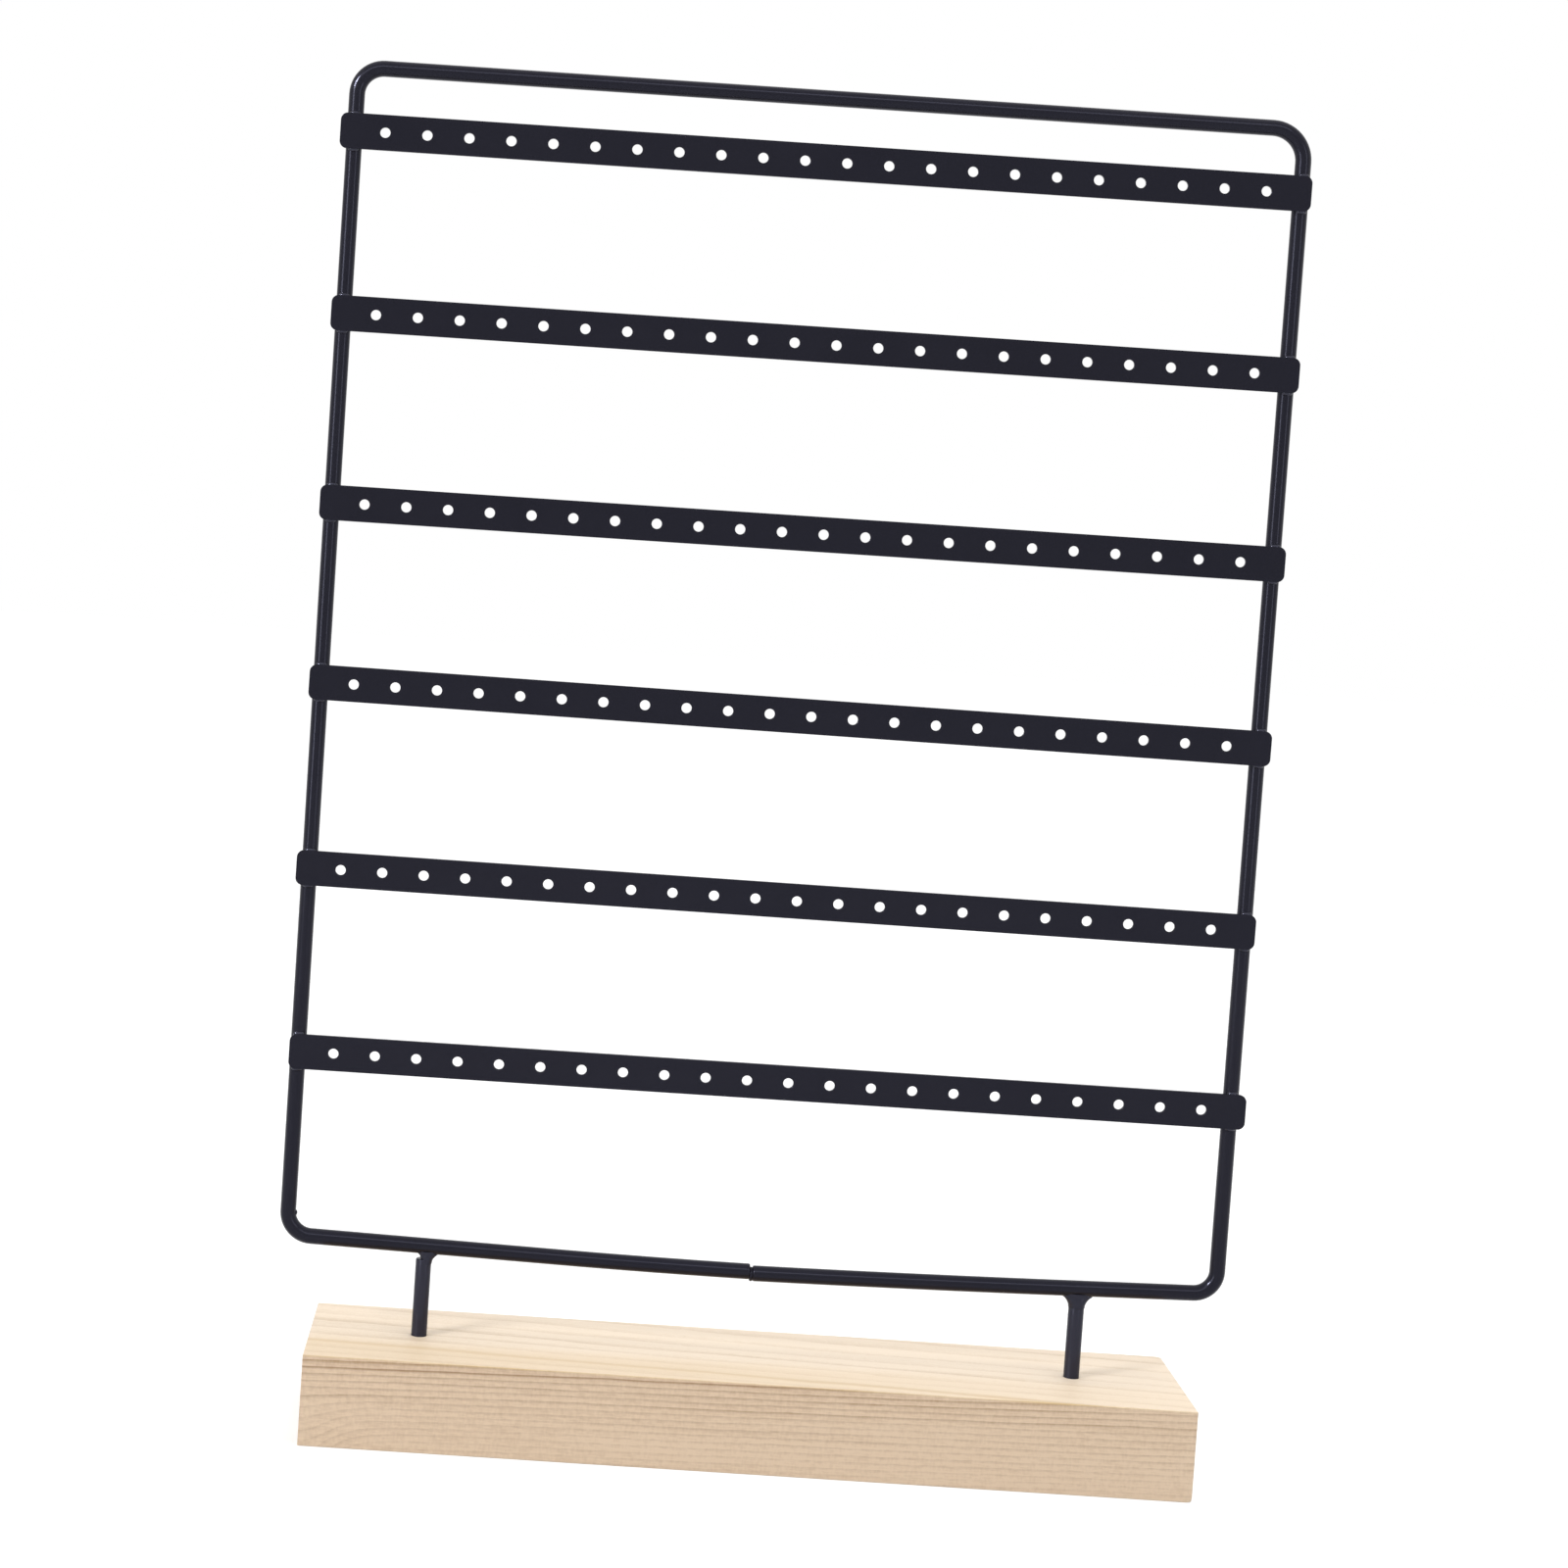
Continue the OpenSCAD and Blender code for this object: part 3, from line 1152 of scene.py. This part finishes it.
@dataclass
class LegWeld:
    """The weld that joins a leg to the wire, as rings that follow its outline."""

    fillet_h: float = 3.0
    fillet_w: float = 1.9
    proud: float = 0.12

    def levels(self, side: Side, leg: Leg, wire_r: float) -> list[Ring]:
        """Lists the weld's rings: height over the wire's underside, left end, right end and half depth.

        Their numbers are shares of the weld's own height and width, the leg and the wire.

        Args:
            side: which leg's weld.
            leg: the leg.
            wire_r: the wire's radius.

        Returns:
            The rings from the lowest up.
        """
        rim = leg.diameter / 2 + self.proud
        high, wide = self.fillet_h, self.fillet_w
        if side is Side.RIGHT:
            even = (
                (-high, rim, rim),
                (-0.7 * high, rim + 0.06 * wide, rim),
                (-0.4 * high, rim + 0.3 * wide, rim),
                (-0.15 * high, rim + 0.65 * wide, 0.95 * wire_r),
                (0.0, rim + wide, 0.9 * wire_r),
                (0.4 * wire_r, rim + 0.8 * wide, 0.93 * wire_r),
            )
            return [(height, -out, out, depth) for height, out, depth in even]
        return [
            (-0.85 * high, 0.0, rim, leg.diameter / 2),
            (-leg.gap, -0.35 * rim, rim + 0.15 * wide, leg.diameter / 2),
            (-0.15 * high, -0.5 * rim, rim + 0.55 * wide, 0.95 * wire_r),
            (0.0, -0.75 * rim, rim + 0.85 * wide, 0.9 * wire_r),
            (0.4 * wire_r, -0.8 * rim, rim + 0.7 * wide, 0.93 * wire_r),
        ]

    def build(self, side: Side, leg: Leg, loop: WireLoop) -> Piece:
        """Draws the weld up ring by ring and smooths it.

        Args:
            side: which leg's weld.
            leg: the leg.
            loop: the wire.

        Returns:
            The finished weld.
        """
        x = side.value * leg.spacing / 2
        under = loop.under_z(x)
        rings = self.levels(side, leg, loop.wire_d / 2)
        height, left, right, depth = rings[0]
        foot = metres(x, 0, under + height)
        weld = Bench.disc(f"{side.name.lower()}_leg_weld_bead", 1.0, foot)
        at = metres(x + (left + right) / 2, 0, under + height)
        bpy.ops.transform.translate(value=metres((left + right) / 2, 0, 0))
        Bench.widen(((right - left) / 2, depth, 1.0), at)
        for ring in rings[1:]:
            next_height, next_left, next_right, next_depth = ring
            move = ((next_left + next_right) - (left + right)) / 2
            Bench.draw_out(metres(move, 0, next_height - height))
            at = metres(x + (next_left + next_right) / 2, 0, under + next_height)
            Bench.widen(((next_right - next_left) / (right - left), next_depth / depth, 1.0), at)
            height, left, right, depth = ring
        Bench.tidy(weld, angle=60.0)
        return weld


@dataclass
class PhotoCamera:
    """The camera at the photograph's viewing angle, in millimetres and degrees."""

    place: Point = (-63.8018, -793.5959, 251.8566)
    turn: Point = (87.105, -3.7608, -0.1029)
    lens: float = 68.9986
    sensor: float = 36.0
    shift_x: float = 0.1375
    shift_y: float = -0.090625
    clip: Span = (10.0, 100000.0)

    def build(self) -> None:
        """Makes the camera and makes it the scene's own."""
        data = bpy.data.cameras.new("photo_camera")
        camera = bpy.data.objects.new("photo_camera", data)
        bpy.context.scene.collection.objects.link(camera)
        camera.location = metres(*self.place)
        camera.rotation_euler = tuple(math.radians(angle) for angle in self.turn)
        data.lens = self.lens
        data.sensor_width = self.sensor
        data.shift_x = self.shift_x
        data.shift_y = self.shift_y
        data.clip_start, data.clip_end = (length * MM for length in self.clip)
        bpy.context.scene.camera = camera


@dataclass(frozen=True)
class SoftBox:
    """A rectangular lamp: its name, place and aim in metres, size in metres, power in watts and use."""

    name: str
    place: Point
    aim: Point
    width: float
    height: float
    power: float
    use: Use

    def build(self) -> None:
        """Makes the lamp and turns it to its aim."""
        data = bpy.data.lights.new(self.name, "AREA")
        data.shape = "RECTANGLE"
        data.size = self.width
        data.size_y = self.height
        data.energy = self.power
        lamp = bpy.data.objects.new(self.name, data)
        bpy.context.scene.collection.objects.link(lamp)
        lamp.visible_diffuse, lamp.visible_glossy = self.use.value
        lamp.location = self.place
        lamp.rotation_euler = (Vector(self.aim) - Vector(self.place)).to_track_quat("-Z", "Y").to_euler()


@dataclass
class Studio:
    """A plain white floor and background under soft lamps, with the floor's lengths in metres."""

    floor_size: float = 8.0
    floor_white: float = 0.60
    lift: Span = (0.46, 0.65)
    lift_reach: Span = (0.3, 1.2)
    light: Span = (0.33, 1.0)
    lamps: tuple[SoftBox, ...] = (
        SoftBox("key_box", (-0.84, -0.63, 0.75), (0.0, 0.0, 0.17), 0.24, 0.24, 4.9, Use.LIGHT),
        SoftBox("overhead_box", (0.4, -0.1, 1.5), (0.0, 0.0, 0.1), 1.0, 1.0, 12.8, Use.LIGHT),
        SoftBox("key_glint", (-0.84, -0.63, 0.75), (0.0, 0.0, 0.17), 0.15, 0.15, 36.0, Use.GLINT),
        SoftBox("left_strip", (-0.90, -0.80, 0.25), (0.0, 0.0, 0.2), 0.22, 0.9, 4.8, Use.GLINT),
        SoftBox("right_strip", (0.80, -0.90, 0.25), (0.0, 0.0, 0.2), 0.22, 0.9, 2.0, Use.GLINT),
        SoftBox("front_strip", (0.0, -0.95, 0.95), (0.0, 0.0, 0.2), 1.3, 0.25, 3.2, Use.GLINT),
    )

    def build(self) -> None:
        """Makes the floor, the world and the lamps."""
        Bench.clear()
        bpy.ops.mesh.primitive_plane_add(size=self.floor_size, location=(0.0, 0.0, 0.0))
        floor = bpy.context.object
        floor.name = "studio_floor"
        dress(floor, self._floor_material())
        for lamp in self.lamps:
            lamp.build()
        self._world()
        bpy.context.scene.view_settings.view_transform = "Standard"

    def _seen(self, sheet: NodeSheet) -> Socket:
        """Adds nodes that tell what is looked at from what only lights.

        Args:
            sheet: the node tree.

        Returns:
            1 for what the camera, a mirror or glass sees, and 0 otherwise.
        """
        rays = sheet.add("LightPath").outputs
        either = sheet.maths("MAXIMUM", rays["Is Camera Ray"], rays["Is Glossy Ray"])
        return sheet.maths("MAXIMUM", either, rays["Is Transmission Ray"])

    def _floor_material(self) -> Material:
        """Builds the floor's white, which is lifted where it is looked at, and more so far away.

        Returns:
            The material.
        """
        sheet = NodeSheet(bpy.data.materials.new("studio_white"))
        matt = sheet.add("BsdfDiffuse", {"Color": (self.floor_white,) * 3 + (1.0,)})
        away = sheet.add("VectorMath", {0: sheet.place()}, operation="LENGTH").outputs["Value"]
        glow = sheet.times(self._seen(sheet), sheet.spread(away, self.lift, self.lift_reach))
        shine = sheet.add("Emission", {"Strength": glow})
        both = sheet.add("AddShader", {0: matt.outputs[0], 1: shine.outputs[0]})
        return sheet.finish(both.outputs[0])

    def _world(self) -> None:
        """Makes the world: white where it is seen, and as light bright behind the stand and dim before it."""
        world = bpy.data.worlds.new("studio_world")
        bpy.context.scene.world = world
        sheet = NodeSheet(world)
        way = sheet.add("TexCoord").outputs["Generated"]
        behind = sheet.add("SeparateXYZ", {"Vector": way}).outputs["Y"]
        light = sheet.spread(behind, self.light, (-1.0, 1.0))
        level = sheet.maths("MAXIMUM", self._seen(sheet), light)
        white = sheet.add("Background", {"Color": (1.0, 1.0, 1.0, 1.0), "Strength": level})
        sheet.add("OutputWorld", {"Surface": white.outputs[0]})


def main() -> None:
    """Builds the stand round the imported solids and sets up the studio."""
    logging.basicConfig(level=logging.INFO, format="%(name)s: %(message)s")
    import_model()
    PhotoCamera().build()
    wire_coat = WIRE_COAT.material()
    # The legs' and leg welds' coats carry painted bounce light from the pale block.
    leg_coat_painted_bounce, collar_coat_painted_bounce = LEG_COAT_PAINTED_BOUNCE.material(), COLLAR_COAT_PAINTED_BOUNCE.material()

    declare(WoodenBase().build(), Pine().material(), Slot.WOOD, "base_block")
    loop = WireLoop()
    declare(loop.build(), wire_coat, Slot.COAT, "wire_frame")
    declare(EndJoint().build(loop), wire_coat, Slot.WELD, "joint_weld")

    bars, bar_coat = PerforatedBar(), BAR_COAT.material()
    pattern = bars.build()
    for index in range(len(bars.lifts)):
        bar = Bench.copy(pattern, f"perforated_bar_{index + 1}")
        bars.place(bar, index)
        declare(bar, bar_coat, Slot.COAT, f"bar_{index + 1}")
    bpy.data.objects.remove(pattern)
    # The beads' coat carries a painted highlight.
    declare(BarWelds().build(bars), BEAD_COAT_PAINTED_GLINT.material(), Slot.WELD, "bar_welds")

    leg = Leg()
    for side in Side:
        name = f"{side.name.lower()}_leg"
        declare(leg.build(side, loop), leg_coat_painted_bounce, Slot.COAT, name)
        declare(LegWeld().build(side, leg, loop), collar_coat_painted_bounce, Slot.WELD, f"{name}_weld")

    Studio().build()
    Bench.clear()


if __name__ == "__main__":
    main()
